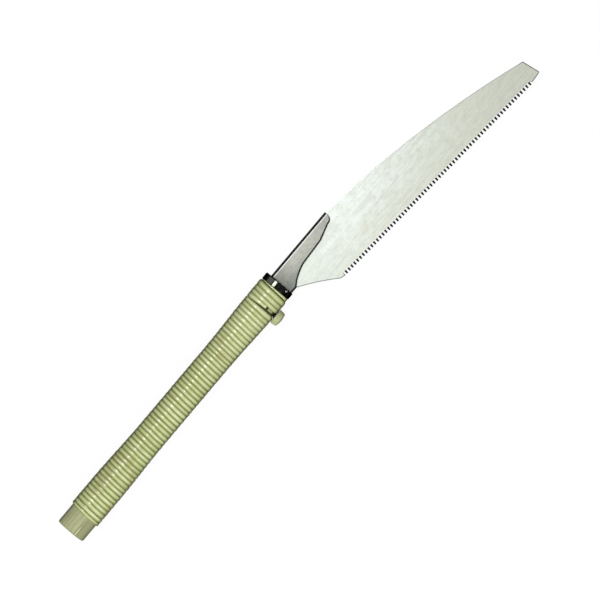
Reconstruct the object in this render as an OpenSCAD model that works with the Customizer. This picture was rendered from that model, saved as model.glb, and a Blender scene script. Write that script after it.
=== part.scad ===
// Pull saw for bamboo: a cane-bound handle, a folded blade holder, and a thumb screw that
// clamps the exchangeable blade by its tail. All sizes are in millimetres.
// The origin is the centre of the butt face. X runs along the handle to the blade's tip,
// Y runs to the blade's back, and Z stands off the blade's flat.

/* [Handle] */
// Bare wood at the butt, from the end face to the binding
butt_bare = 19.6; // [12:0.1:30]
// Length of the binding, from the bare butt to the ferrule
bound_len = 265.9; // [235:0.1:300]
// Half the core's height at the butt
butt_half = 14.3; // [13.6:0.1:17]
// Half the core's height at the waist
waist_half = 12.9; // [12:0.1:15]
// Half the core's height at the head
head_half = 14.4; // [14.2:0.1:17]
// Thickness of the handle over its height
oval = 0.84; // [0.7:0.01:1]
// Bound length at the butt before the core narrows
butt_flare_len = 28; // [10:0.5:40]
// Length over which the core narrows from the butt to the waist
butt_taper_len = 70; // [40:1:80]
// Length over which the core widens from the waist to the head
head_taper_len = 72; // [40:1:80]
// Bound length at the head where the core is full again
head_flare_len = 13.5; // [6:0.5:30]
// Rounding of the butt's edge
butt_round = 1.5; // [0.5:0.1:3]

/* [Cane binding] */
// Thickness of the cane
cane_t = 1.3; // [1:0.05:2]
// Height of the cane's square edge under its rounded shoulder
cane_edge = 0.6; // [0.3:0.05:0.8]
// Width of the cane's rounded shoulder
cane_shoulder = 0.8; // [0.4:0.1:1.2]
// Space between neighbouring loops
cane_space = 0.5; // [0.45:0.05:1]
// Space under the cane
cane_gap = 0.3; // [0.2:0.05:0.5]
// Space between the cane and the screw, and between the cane and the ferrule
cane_end_gap = 0.4; // [0.3:0.1:1]
// Loops of the grip's binding, from the butt to the screw
grip_loops = 23; // [12:1:24]
// Loops of the head's binding, from the screw to the ferrule
head_loops = 3; // [2:1:4]
// Depth of the flats that the saw lies on
rest_cut = 0.5; // [0.3:0.1:0.6]

/* [Ferrule] */
// Length of the ferrule
ferrule_len = 6.9; // [5:0.1:12]
// Half the ferrule's height
ferrule_half = 15.3; // [14.5:0.1:15.4]
// Wall of the ferrule, on its side and its front
ferrule_wall = 1.2; // [0.8:0.1:1.5]
// Rounding of the ferrule's front edge
ferrule_round = 0.9; // [0.3:0.1:1.2]
// Radial clearance of the ferrule on the core
ferrule_clear = 0.1; // [0.05:0.05:0.2]
// Angle of the brad round the handle, from the back towards the upper side
brad_angle = 128; // [60:1:140]
// Distance from the ferrule's front back to the brad
brad_inset = 2.1; // [2:0.1:4.5]
// Radius of the brad's shank
brad_r = 0.5; // [0.3:0.1:0.6]
// Length of the brad under its head
brad_len = 6; // [4:0.5:8]
// Radius of the brad's head
brad_head_r = 1.2; // [1:0.1:1.6]
// Height of the brad's head
brad_head_h = 0.6; // [0.4:0.1:0.9]

/* [Blade holder] */
// Thickness of the folded sheet
sheet_t = 1.2; // [0.8:0.1:1.5]
// Height of the back fold above the handle's axis
spine_rise = 10.3; // [9.5:0.1:11]
// Length of the holder in front of the ferrule
holder_len = 74.7; // [72:0.1:100]
// Length of the full shoulder in front of the ferrule
shoulder_len = 6.4; // [4.5:0.1:10]
// Depth of the shoulder below the axis
shoulder_drop = 14.2; // [12:0.1:14.5]
// Distance from the ferrule to the end of the scooped neck
neck_len = 26.8; // [20:0.1:35]
// Depth of the cheek below the axis at the end of the neck
neck_drop = 5.1; // [4:0.1:7]
// Distance from the ferrule to the bend in the cheek's lower edge
bend_len = 52.7; // [45:0.1:60]
// Depth of the cheek below the axis at the bend
bend_drop = 3.5; // [2.5:0.1:4]
// Distance from the ferrule to the start of the rounded nose
nose_len = 68.4; // [64:0.1:70]
// Height of the cheek's lower edge above the axis at the nose
nose_rise = 1.1; // [0:0.1:3]
// Height of the tang's lower edge above the axis, inside the handle
tang_rise = 0.3; // [0:0.1:1]
// Length of the tang behind its pin
tang_end_len = 8; // [5:0.5:15]
// Distance from the hook pin back to the tang pin
pin_pitch = 22; // [12:0.5:30]
// Radius of the tang pin
tang_pin_r = 1.5; // [1:0.1:2]
// Depth of the tang pin's ends below the core's surface
tang_pin_inset = 0.6; // [0.3:0.1:1.5]
// Clearance of the holder in the core and the ferrule
tang_clear = 0.15; // [0.1:0.05:0.4]
// Radial clearance of the pins in their holes
pin_clear = 0.03; // [0.02:0.01:0.08]

/* [Blade] */
// Thickness of the blade
blade_t = 0.7; // [0.5:0.05:1]
// Clearance beside the blade in the fold
blade_clear = 0.05; // [0.04:0.01:0.1]
// Clearance over the blade's back in the fold
back_clear = 0.2; // [0.1:0.05:0.4]
// Length of the blade's tail inside the handle
tail_len = 46; // [42:0.5:60]
// Depth of the tail's lower edge below the axis
tail_drop = 2; // [1.6:0.1:2.4]
// Set-back of the blade's shoulder from the ferrule
blade_shoulder = 4; // [2:0.1:5]
// Length of the open notch in the tail's end
notch_len = 7; // [5:0.1:9]
// Height of the notch above the axis
notch_rise = 4.6; // [3.5:0.1:5.4]
// Radius of the hook pin
hook_r = 1.6; // [1:0.1:2]
// Clearance of the notch on the hook pin
hook_clear = 0.08; // [0.05:0.01:0.1]
// Distance from the ferrule to the corner of the heel
heel_reach = 38.3; // [32:0.1:50]
// Depth of the line of points below the axis, at the heel's corner
heel_drop = 40.4; // [32:0.1:48]
// Height of the heel's corner above the line of points
heel_rise = 1.2; // [0:0.1:2.5]
// Bow of the scooped heel from its chord
heel_bow = 0.9; // [0:0.1:3]
// Plain edge between the heel's corner and the first tooth
heel_plain = 5.4; // [2:0.1:10]
// Slope of the toothed edge away from the axis, in degrees
edge_slope = 4.1; // [2:0.1:6]
// Number of teeth
tooth_count = 66; // [40:1:72]
// Distance from tooth to tooth
tooth_pitch = 3.636; // [3:0.001:4]
// Height of the teeth
tooth_h = 3.5; // [2:0.1:4]
// Width of the gullet's floor
gullet_w = 1.5; // [0.4:0.1:1.7]
// Run of the steep face on the handle's side of a tooth
face_run = 0.4; // [0.2:0.1:0.6]
// Width of a tooth's point
point_w = 0.8; // [0.2:0.05:1]
// Plain edge between the last tooth and the tip
tip_plain = 12.8; // [6:0.1:20]
// Height of the plain edge beside the last tooth above the line of points
last_rise = 0.9; // [0:0.1:2]
// Height of the plain edge at the tip above the line of points
tip_rise = 2.5; // [1:0.1:3.4]
// Height of the blade at its tip
tip_h = 17.9; // [15:0.1:24]
// Lean of the tip's end, back from its lower corner
tip_lean = 2.8; // [0:0.1:5]
// Rounding of the tip's lower corner
tip_round = 2; // [0.5:0.1:4]
// Straight lead of the back in front of the holder
back_lead = 10; // [6:1:40]
// Run of the back behind the tip that sets its slope there
back_run = 112; // [60:1:130]
// Slope of the back at the tip, in degrees
back_slope = 18.8; // [14:0.1:20]

/* [Thumb screw] */
// Distance from the ferrule's front back to the screw
screw_back = 25.4; // [20:0.1:30]
// Radius of the screw
screw_r = 2.5; // [2:0.1:3]
// Advance of the screw in one turn
thread_pitch = 0.8; // [0.5:0.05:1]
// Turns that free the blade
clamp_turns = 3; // [2:0.5:3]
// Radial clearance of the thread in the nut
thread_clear = 0.05; // [0.03:0.01:0.1]
// Radial clearance of the screw in the core
screw_clear = 0.3; // [0.2:0.05:0.5]
// Radius of the screw's spigot in the shoe
spigot_r = 1.3; // [0.8:0.1:1.6]
// Length of the spigot
spigot_len = 1.6; // [1:0.1:2]
// Depth of the screw in the knob
screw_seat = 5; // [3:0.1:5.5]
// Width of the square nut
nut_w = 8; // [7:0.1:10]
// Height of the nut
nut_h = 4; // [3:0.1:4.5]
// Clearance round the nut
nut_clear = 0.15; // [0.1:0.05:0.3]
// Length of the shoe along the handle
shoe_len = 7; // [5:0.1:7.4]
// Wall of the shoe on each side of the blade
shoe_wall = 1.8; // [1.4:0.1:2.4]
// Depth of the shoe's slot
shoe_slot = 1.5; // [1:0.1:1.8]
// Floor of the shoe under the blade's tail
shoe_floor = 3; // [2.4:0.1:3.2]
// Clearance round the shoe, and beside the blade in its slot
shoe_clear = 0.15; // [0.1:0.05:0.3]
// Space between the freed shoe and the nut
stop_gap = 0.3; // [0.2:0.05:0.6]
// Clearance where the shoe, the tail and the screw bear
bear_gap = 0.05; // [0.03:0.01:0.1]
// Radius of the knob
knob_r = 7.4; // [6:0.1:10]
// Height of the knob
knob_h = 6.8; // [6:0.1:10]
// Rounding of the knob's outer edge
knob_round = 1.6; // [0.5:0.1:2.5]
// Narrowing of the knob towards its outer face
knob_draft = 0.4; // [0:0.1:0.8]
// Height of the dome on the knob's outer face
knob_dome = 0.8; // [0.2:0.1:1.2]
// Space between the knob and the binding
knob_gap = 0.3; // [0.2:0.1:1]

/* [Hidden] */

$fn = 64;
loop_rings = 24;
taper_steps = 8;
curve_steps = 12;
back_steps = 24;
corner_steps = 4;
over = 1;
bind_colour = "#d9d8a8";
wood_colour = "#a9ab93";
steel_colour = "#8f9391";
dark_colour = "#2b2d2e";
blade_colour = "#e6ece8";
brass_colour = "#c2a45a";

// Places along the handle
bind_end = butt_bare + bound_len;
mouth_x = bind_end + ferrule_len;
core_end = mouth_x - ferrule_wall - bear_gap;
flare_end = butt_bare + butt_flare_len;
waist_start = flare_end + butt_taper_len;
head_start = bind_end - head_flare_len;
waist_end = head_start - head_taper_len;
screw_x = mouth_x - screw_back;
spigot_half = ferrule_half - ferrule_wall - ferrule_clear;

// Folded holder, its slot and its pins
slot_half = blade_t / 2 + blade_clear;
fold_half = slot_half + sheet_t;
back_y = spine_rise - sheet_t - back_clear;
tail_end = mouth_x - tail_len;
hook_x = tail_end + notch_len - hook_r - hook_clear;
tang_pin_x = hook_x - pin_pitch;
tang_end = tang_pin_x - tang_end_len;
tang_pin_y = (spine_rise + tang_rise) / 2;
tang_pin_half = oval * sqrt(pow(core_half(tang_pin_x), 2) - pow(tang_pin_y, 2)) - tang_pin_inset;

// Clamp, from the blade's tail down to the knob
seat_y = -tail_drop - bear_gap;
shoe_low = seat_y - shoe_floor;
shoe_half_w = blade_t / 2 + shoe_clear + shoe_wall;
clamp_travel = clamp_turns * thread_pitch;
nut_top = shoe_low - clamp_travel - stop_gap;
nut_low = nut_top - nut_h;
knob_face = -(core_half(screw_x) + cane_gap + cane_t + knob_gap);

// Bindings: the helix climbs to the back on the upper side
screw_space = screw_r + cane_end_gap;
grip_end = screw_x - screw_space;
grip_pitch = (grip_end - butt_bare + cane_space) / (grip_loops + 1);
head_first = screw_x + screw_space;
head_lead = 1 / 3;
head_pitch = (bind_end - cane_end_gap - head_first + cane_space) / (head_loops - head_lead + 1);
screw_angle = 180;
grip_tail = 1 / 2;
rest_z = rest_cut - cane_gap - cane_t - oval * min(butt_half, head_half);

// Half the core's height at a place along the handle: full ends and a waist, joined by eased tapers
function core_half(x) =
    x < flare_end ? butt_half
    : x < waist_start ? ease(butt_half, waist_half, (x - flare_end) / butt_taper_len)
    : x < waist_end ? waist_half
    : x < head_start ? ease(waist_half, head_half, (x - waist_end) / head_taper_len)
    : head_half;
function ease(a, b, t) = a + (b - a) * (1 - cos(180 * t)) / 2;

// Point of the oval section at an angle from the back, moved outwards along its normal
function oval_point(half, angle, out) =
    let (n = [oval * cos(angle), sin(angle)])
    [half * cos(angle), half * oval * sin(angle)] + out * n / norm(n);

function bend(p, c, q, steps) =
    [for (i = [0 : steps]) let (t = i / steps) pow(1 - t, 2) * p + 2 * t * (1 - t) * c + t * t * q];
function sweep(p, a, b, q, steps) =
    [for (i = [0 : steps]) let (t = i / steps, s = 1 - t)
        pow(s, 3) * p + 3 * t * s * s * a + 3 * t * t * s * b + pow(t, 3) * q];
function corner(centre, r, from, to) =
    [for (i = [0 : corner_steps]) let (a = from + (to - from) * i / corner_steps)
        centre + r * [cos(a), sin(a)]];

// Shapes that repeat
module revolved() {
    scale([1, 1, oval]) rotate([0, 90, 0]) rotate_extrude($fn = 96) children();
}

module block(low, high) {
    translate(low) cube(high - low);
}

module across(r, half) {
    cylinder(r = r, h = 2 * half, center = true);
}

module down(from_y, to_y, r) {
    translate([screw_x, from_y, 0]) rotate([90, 0, 0]) cylinder(r = r, h = from_y - to_y);
}

module mouth_slot(from_x, to_x) {
    half = fold_half + tang_clear;
    block([from_x, -tail_drop - tang_clear, -half], [to_x, spine_rise + tang_clear, half]);
}

// Core: two glued halves round the tang, with pockets for the clamp
function taper(start, run) =
    [for (i = [0 : taper_steps]) let (x = start + run * i / taper_steps) [core_half(x), x]];

module core_profile() {
    flat_half = butt_half - butt_round;
    polygon(concat(
        [[0, -over], [flat_half, -over]],
        corner([flat_half, butt_round], butt_round, -90, 0),
        taper(flare_end, butt_taper_len),
        taper(waist_end, head_taper_len),
        [[head_half, bind_end], [spigot_half, bind_end]],
        [[spigot_half, core_end + over], [0, core_end + over]]
    ));
}

module clamp_pockets() {
    shoe_x = shoe_len / 2 + shoe_clear;
    shoe_z = shoe_half_w + shoe_clear;
    nut_half = nut_w / 2 + nut_clear;
    block([screw_x - shoe_x, nut_top, -shoe_z],
        [screw_x + shoe_x, seat_y + shoe_slot + shoe_clear, shoe_z]);
    block([screw_x - nut_half, nut_low - nut_clear, -nut_half],
        [screw_x + nut_half, nut_top + nut_clear, nut_half]);
    down(shoe_low, -head_half - over, screw_r + screw_clear);
}

module core_body() {
    difference() {
        revolved() core_profile();
        mouth_slot(tang_end - tang_clear, core_end + over);
        clamp_pockets();
        translate([tang_pin_x, tang_pin_y, 0]) across(tang_pin_r + pin_clear, head_half);
        brad_place() brad_hole();
    }
}

// Half of the space between the butt face and the core's end
module core_half_space(side) {
    reach = head_half + butt_half;
    translate([0, -reach, side > 0 ? 0 : -reach]) cube([core_end, 2 * reach, reach]);
}

module core_upper() {
    color(wood_colour) intersection() {
        core_body();
        core_half_space(1);
    }
}

module core_lower() {
    color(wood_colour) intersection() {
        core_body();
        core_half_space(-1);
    }
}

// Bindings: one unbroken strip each, swept as rings of six points round the oval core
function cane_section(w) = [[-w / 2, 0], [w / 2, 0], [w / 2, cane_edge], [w / 2 - cane_shoulder, cane_t],
    [cane_shoulder - w / 2, cane_t], [-w / 2, cane_edge]];
function cane_ring(x, angle, w) =
    [for (p = cane_section(w)) let (q = oval_point(core_half(x + p[0]), angle, cane_gap + p[1]))
        [x + p[0], q[0], max(q[1], rest_z)]];

// Rings of a helix whose middle passes x at the screw's angle, from before to after in loops
function cane_rings(x, pitch, before, after) =
    [for (i = [-round(before * loop_rings) : round(after * loop_rings)]) let (t = i / loop_rings)
        cane_ring(x + pitch * t, screw_angle - 360 * t, pitch - cane_space)];

function ring_gap(a, b) = min([for (p = a, q = b) norm(p - q)]);
function least_gap(rings) =
    min([for (i = [0 : len(rings) - 1], k = [loop_rings - 2 : loop_rings + 2])
        if (i + k < len(rings)) ring_gap(rings[i], rings[i + k])]);

module strip(name, rings) {
    sides = len(rings[0]);
    last = len(rings) - 1;
    walls = [for (i = [0 : last - 1], j = [0 : sides - 1])
        let (a = i * sides + j, b = i * sides + (j + 1) % sides)
        each [[a, b, b + sides], [a, b + sides, a + sides]]];
    caps = [for (j = [1 : sides - 2])
        each [[0, j + 1, j], [last * sides, last * sides + j, last * sides + j + 1]]];
    echo(str(name, " least gap to itself: ", least_gap(rings), " mm"));
    polyhedron(points = [for (r = rings) each r], faces = concat(walls, caps));
}

module grip_binding() {
    middle = grip_end - (grip_pitch - cane_space) / 2;
    color(bind_colour) strip("grip_binding", cane_rings(middle, grip_pitch, grip_loops, grip_tail));
}

module head_binding() {
    middle = head_first + (head_pitch - cane_space) / 2;
    color(bind_colour)
        strip("head_binding", cane_rings(middle, head_pitch, head_lead, head_loops - head_lead));
}

// Ferrule: drawn oval cap with a slot for the tang, held by a brad
module ferrule() {
    bore = ferrule_half - ferrule_wall;
    back = bind_end + bear_gap;
    color(dark_colour) difference() {
        revolved() polygon(concat(
            [[bore, back], [ferrule_half, back]],
            corner([ferrule_half - ferrule_round, mouth_x - ferrule_round], ferrule_round, 0, 90),
            [[0, mouth_x], [0, mouth_x - ferrule_wall], [bore, mouth_x - ferrule_wall]]
        ));
        mouth_slot(bind_end, mouth_x + over);
        brad_place() brad_hole();
    }
}

module brad_place() {
    seat = oval_point(ferrule_half, brad_angle, bear_gap);
    lean = atan2(oval * cos(brad_angle), sin(brad_angle));
    translate([mouth_x - brad_inset, seat[0], seat[1]]) rotate([-lean, 0, 0]) children();
}

module brad_hole() {
    translate([0, 0, -brad_len - pin_clear]) cylinder(r = brad_r + pin_clear, h = brad_len + over);
}

module ferrule_brad() {
    dome_r = (pow(brad_head_r, 2) + pow(brad_head_h, 2)) / (2 * brad_head_h);
    color(steel_colour) brad_place() {
        translate([0, 0, -brad_len]) cylinder(r = brad_r, h = brad_len + brad_head_h / 2);
        intersection() {
            translate([0, 0, brad_head_h - dome_r]) sphere(r = dome_r);
            cylinder(r = brad_head_r, h = brad_head_h);
        }
    }
}

// Blade holder: one sheet folded over the blade's back, with a tang in the core
function cheek_outline() =
    let (shoulder_x = mouth_x + bear_gap, scoop = [mouth_x + shoulder_len, -shoulder_drop],
        neck = [mouth_x + neck_len, -neck_drop], nose = [mouth_x + nose_len, nose_rise],
        tip = [mouth_x + holder_len, spine_rise - fold_half])
    concat(
        [[tang_end, spine_rise], [tang_end, tang_rise]],
        [[shoulder_x, tang_rise], [shoulder_x, -shoulder_drop]],
        bend(scoop, [(2 * scoop[0] + neck[0]) / 3, (scoop[1] + 2 * neck[1]) / 3], neck, curve_steps),
        [[mouth_x + bend_len, -bend_drop]],
        bend(nose, [tip[0], nose_rise], tip, curve_steps),
        [[tip[0], spine_rise]]
    );

module fold_profile() {
    translate([0, spine_rise - fold_half]) circle(r = fold_half);
    translate([-fold_half, -shoulder_drop])
        square([2 * fold_half, shoulder_drop + spine_rise - fold_half]);
}

module blade_holder() {
    color(steel_colour) difference() {
        intersection() {
            linear_extrude(height = 2 * fold_half, center = true) polygon(cheek_outline());
            translate([tang_end, 0, 0]) rotate([0, 90, 0])
                linear_extrude(height = mouth_x + holder_len - tang_end) fold_profile();
        }
        block([tang_end - over, -shoulder_drop - over, -slot_half],
            [mouth_x + holder_len + over, spine_rise - sheet_t, slot_half]);
        translate([hook_x, notch_rise, 0]) across(hook_r + pin_clear, fold_half + over);
        translate([tang_pin_x, tang_pin_y, 0]) across(tang_pin_r + pin_clear, fold_half + over);
    }
}

module hook_pin() {
    color(steel_colour) translate([hook_x, notch_rise, 0]) across(hook_r, fold_half);
}

module tang_pin() {
    color(steel_colour) translate([tang_pin_x, tang_pin_y, 0]) across(tang_pin_r, tang_pin_half);
}

// Blade: points along and above the line of tooth points, counted from the heel's corner
function edge_point(s, h) =
    [mouth_x + heel_reach, -heel_drop]
    + s * [cos(edge_slope), -sin(edge_slope)] + h * [sin(edge_slope), cos(edge_slope)];
function tooth(i) =
    let (s = heel_plain + i * tooth_pitch)
    [edge_point(s, tooth_h), edge_point(s + gullet_w, tooth_h), edge_point(s + gullet_w + face_run, 0),
        edge_point(s + gullet_w + face_run + point_w, 0)];

function blade_outline() =
    let (heel = edge_point(0, heel_rise), row_end = heel_plain + tooth_count * tooth_pitch,
        tip_low = edge_point(row_end + tip_plain, tip_rise), tip_top = tip_low + [-tip_lean, tip_h],
        tip_side = tip_low + tip_round * (tip_top - tip_low) / tip_h,
        heel_top = [mouth_x + shoulder_len, -shoulder_drop], chord = heel - heel_top,
        bow = 2 * heel_bow * [-chord[1], chord[0]] / norm(chord),
        back_start = [mouth_x + holder_len, back_y], lead_end = back_start + [back_lead, 0],
        back_pull = tip_top + back_run * [-1, tan(back_slope)], shoulder_x = mouth_x + blade_shoulder)
    concat(
        [[tail_end, back_y], [tail_end, -tail_drop]],
        [[shoulder_x, -tail_drop], [shoulder_x, back_clear - shoulder_drop]],
        bend(heel_top, (heel + heel_top) / 2 + bow, heel, curve_steps),
        [edge_point(heel_plain, 0)],
        [for (i = [0 : tooth_count - 1]) each tooth(i)],
        [edge_point(row_end, tooth_h), edge_point(row_end + gullet_w, last_rise)],
        bend(tip_low - [tip_round, 0], tip_low, tip_side, corner_steps),
        sweep(tip_top, back_pull, lead_end, back_start, back_steps)
    );

module blade() {
    notch_r = hook_r + hook_clear;
    color(blade_colour) difference() {
        linear_extrude(height = blade_t, center = true) polygon(blade_outline());
        translate([hook_x, notch_rise, 0]) across(notch_r, blade_t);
        block([tail_end - over, notch_rise - notch_r, -blade_t], [hook_x, notch_rise + notch_r, blade_t]);
    }
}

// Clamp: knob and screw turn together in the nut and lift the shoe to the blade's tail
module clamp_screw() {
    top = shoe_low - bear_gap;
    color(steel_colour) union() {
        down(top, knob_face - screw_seat, screw_r);
        down(top + spigot_len, top - over, spigot_r);
    }
}

module clamp_knob() {
    flat_r = knob_r - knob_draft - knob_round;
    dome_r = (pow(flat_r, 2) + pow(knob_dome, 2)) / (2 * knob_dome);
    color(bind_colour) difference() {
        translate([screw_x, knob_face, 0]) rotate([90, 0, 0]) rotate_extrude() polygon(concat(
            [[0, 0], [knob_r, 0]],
            corner([flat_r, knob_h - knob_dome - knob_round], knob_round, 0, 90),
            corner([0, knob_h - dome_r], dome_r, acos(flat_r / dome_r), 90)
        ));
        down(knob_face + over, knob_face - screw_seat - pin_clear, screw_r + pin_clear);
    }
}

module clamp_nut() {
    half = nut_w / 2;
    color(brass_colour) difference() {
        block([screw_x - half, nut_low, -half], [screw_x + half, nut_top, half]);
        down(nut_top + over, nut_low - over, screw_r + thread_clear);
    }
}

module clamp_shoe() {
    color(brass_colour) difference() {
        block([screw_x - shoe_len / 2, shoe_low, -shoe_half_w],
            [screw_x + shoe_len / 2, seat_y + shoe_slot, shoe_half_w]);
        block([screw_x - shoe_len, seat_y, -blade_t / 2 - shoe_clear],
            [screw_x + shoe_len, seat_y + shoe_slot + over, blade_t / 2 + shoe_clear]);
        down(shoe_low + spigot_len, shoe_low - over, spigot_r + thread_clear);
    }
}

core_upper();
core_lower();
grip_binding();
head_binding();
ferrule();
ferrule_brad();
blade_holder();
hook_pin();
tang_pin();
blade();
clamp_screw();
clamp_knob();
clamp_nut();
clamp_shoe();
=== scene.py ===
"""Looks of a bamboo saw with a cane-bound handle, made round the packed CAD model.

The file is laid out as a Blender add-on and is run as a script. Sizes are in metres, in the CAD model's
frame: X runs along the handle to the blade's tip, Y runs to the blade's back, and Z stands off the blade's
flat.
"""

import math

import bpy
import numpy as np
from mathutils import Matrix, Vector


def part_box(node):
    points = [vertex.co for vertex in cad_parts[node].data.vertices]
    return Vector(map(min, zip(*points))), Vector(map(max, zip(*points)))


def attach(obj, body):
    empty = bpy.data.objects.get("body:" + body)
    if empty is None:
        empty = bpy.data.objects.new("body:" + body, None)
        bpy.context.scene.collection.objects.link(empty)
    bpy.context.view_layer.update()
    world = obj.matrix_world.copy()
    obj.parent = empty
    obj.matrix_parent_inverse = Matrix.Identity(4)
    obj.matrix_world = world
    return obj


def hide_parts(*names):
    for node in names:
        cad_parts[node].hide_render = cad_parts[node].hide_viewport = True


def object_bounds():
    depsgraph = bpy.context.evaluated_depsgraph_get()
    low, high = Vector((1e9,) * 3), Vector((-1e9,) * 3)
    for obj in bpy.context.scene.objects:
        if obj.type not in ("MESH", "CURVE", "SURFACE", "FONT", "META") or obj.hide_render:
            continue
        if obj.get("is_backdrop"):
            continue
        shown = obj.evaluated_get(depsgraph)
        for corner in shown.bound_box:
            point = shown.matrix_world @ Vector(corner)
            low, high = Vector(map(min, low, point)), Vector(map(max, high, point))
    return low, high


bl_info = {
    "name": "Bamboo saw",
    "version": (1, 0, 0),
    "blender": (4, 5, 0),
    "location": "View3D > Sidebar > Bamboo saw",
    "description": "Pull saw with a cane-bound handle and a clamped blade",
    "category": "Object",
}

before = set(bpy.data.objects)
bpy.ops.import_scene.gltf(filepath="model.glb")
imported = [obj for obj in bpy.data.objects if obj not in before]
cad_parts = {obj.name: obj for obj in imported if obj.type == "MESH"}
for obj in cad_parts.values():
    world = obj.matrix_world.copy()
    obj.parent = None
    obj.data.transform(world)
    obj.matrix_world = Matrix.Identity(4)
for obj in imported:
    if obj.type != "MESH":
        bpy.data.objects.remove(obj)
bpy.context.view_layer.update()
FERRULE_LOW, FERRULE_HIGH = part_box("ferrule")
KNOB_LOW, KNOB_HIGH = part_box("clamp_knob")
SCREW_LOW, SCREW_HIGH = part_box("clamp_screw")
HOLDER_LOW, HOLDER_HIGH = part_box("blade_holder")
BLADE_LOW, BLADE_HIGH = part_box("blade")
HOOK_LOW, HOOK_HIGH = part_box("hook_pin")
# Front of the ferrule, its rear, where the cane ends, and the axis of the thumb screw.
MOUTH_X = FERRULE_HIGH.x
BIND_END = FERRULE_LOW.x
SCREW_X = (SCREW_LOW.x + SCREW_HIGH.x) / 2
BLACK = (0, 0, 0)


def kind_of(property_type, **kind):
    """Function that makes properties of one kind from a name, a description and a default."""
    def make(name, description, default):
        return property_type(name=name, description=description, default=default, **kind)
    return make


length = kind_of(bpy.props.FloatProperty, min=0, precision=5, unit="LENGTH")
position = kind_of(bpy.props.FloatProperty, precision=5, unit="LENGTH")
share = kind_of(bpy.props.FloatProperty, min=0, max=1, subtype="FACTOR")
angle = kind_of(bpy.props.FloatProperty, unit="ROTATION")
power = kind_of(bpy.props.FloatProperty, min=0, unit="POWER")
focus = kind_of(bpy.props.FloatProperty, min=1, unit="CAMERA")
count = kind_of(bpy.props.IntProperty, min=1)
colour = kind_of(bpy.props.FloatVectorProperty, size=3, min=0, max=1, subtype="COLOR")


class HandleSettings(bpy.types.PropertyGroup):
    """Sizes of the oval core and the colours of its wood"""

    butt_bare: length("Bare butt", "Length of bare wood from the butt face to the binding", 0.0196)
    butt_half: length("Butt half height", "Half the core's height at the butt", 0.0143)
    waist_half: length("Waist half height", "Half the core's height at the waist", 0.0129)
    head_half: length("Head half height", "Half the core's height at the head", 0.0144)
    butt_flare: length("Butt flare", "Bound length at the butt before the core narrows", 0.028)
    butt_taper: length("Butt taper", "Length over which the core narrows to the waist", 0.070)
    head_taper: length("Head taper", "Length over which the core widens to the head", 0.072)
    head_flare: length("Head flare", "Bound length at the head where the core is full again", 0.0135)
    oval: share("Oval", "Thickness of the handle over its height", 0.84)
    ring_width: length("Ring width", "Distance between the wood's growth rings", 0.0034)
    pale_wood: colour("Pale wood", "Colour between the growth rings", (0.45, 0.47, 0.275))
    dark_wood: colour("Dark wood", "Colour of the growth rings", (0.34, 0.355, 0.185))
    pore: colour("Pore", "Colour of the short dark pores along the grain", (0.17, 0.17, 0.075))
    # Painted shade: the core under the binding is dark, so the gaps between turns look shaded.
    bound_shade_wood: colour("Bound wood", "Colour of the core under the binding", (0.050, 0.055, 0.022))
    # Painted shade on the narrow sides of the butt and on the rim of its end.
    side_shade_wood: colour("Worn wood", "Colour of the handled narrow sides of the butt", (0.13, 0.13, 0.085))


class CaneSettings(bpy.types.PropertyGroup):
    """Sizes and colours of the split cane that binds the handle"""

    grip_start: length("Grip start", "Place where the grip's helix starts, before its slanted cut", 0.01778)
    pitch: length("Grip pitch", "Advance of the grip's strip in one turn", 0.004268)
    tight: length("Tight stretch", "Length saved where a few turns lie tighter", 0.0015)
    late: length("Late turns", "How much less each turn advances after the tight stretch", 0.000072)
    head_pitch: length("Head pitch", "Advance of the head's strip at its start, in one turn", 0.00355)
    head_growth: length("Head growth", "How much wider each turn of the head is than the last", 0.00042)
    height: length("Height", "Height of the strip's crown over the core", 0.0015)
    edge: length("Edge", "Height of the strip's square edge over the core", 0.00128)
    full_width: length("Full width", "Width from which the strip has its full height", 0.0022)
    seat: length("Seat", "Space between the strip and the core", 0.00005)
    gap: length("Gap", "Space between neighbouring turns", 0.00012)
    wander: length("Wander", "How far the hand-wound turns stray from an even pitch", 0.00022)
    pale_skin: colour("Pale skin", "Colour of the ripe cane", (0.72, 0.755, 0.43))
    green_skin: colour("Green skin", "Colour of the greener lengths", (0.55, 0.60, 0.27))
    stain: colour("Stain", "Colour of the brown marks on the skin", (0.42, 0.33, 0.15))
    # Painted shade on the strip's edges, down in the grooves.
    groove_shade: colour("Groove", "Colour of the strip's edges, down in the grooves", (0.20, 0.24, 0.06))
    # Painted shade on the narrow sides of the grip, and on the head's tucked stub.
    side_shade_skin: colour("Worn skin", "Colour of the handled narrow sides of the grip", (0.10, 0.105, 0.055))


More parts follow.
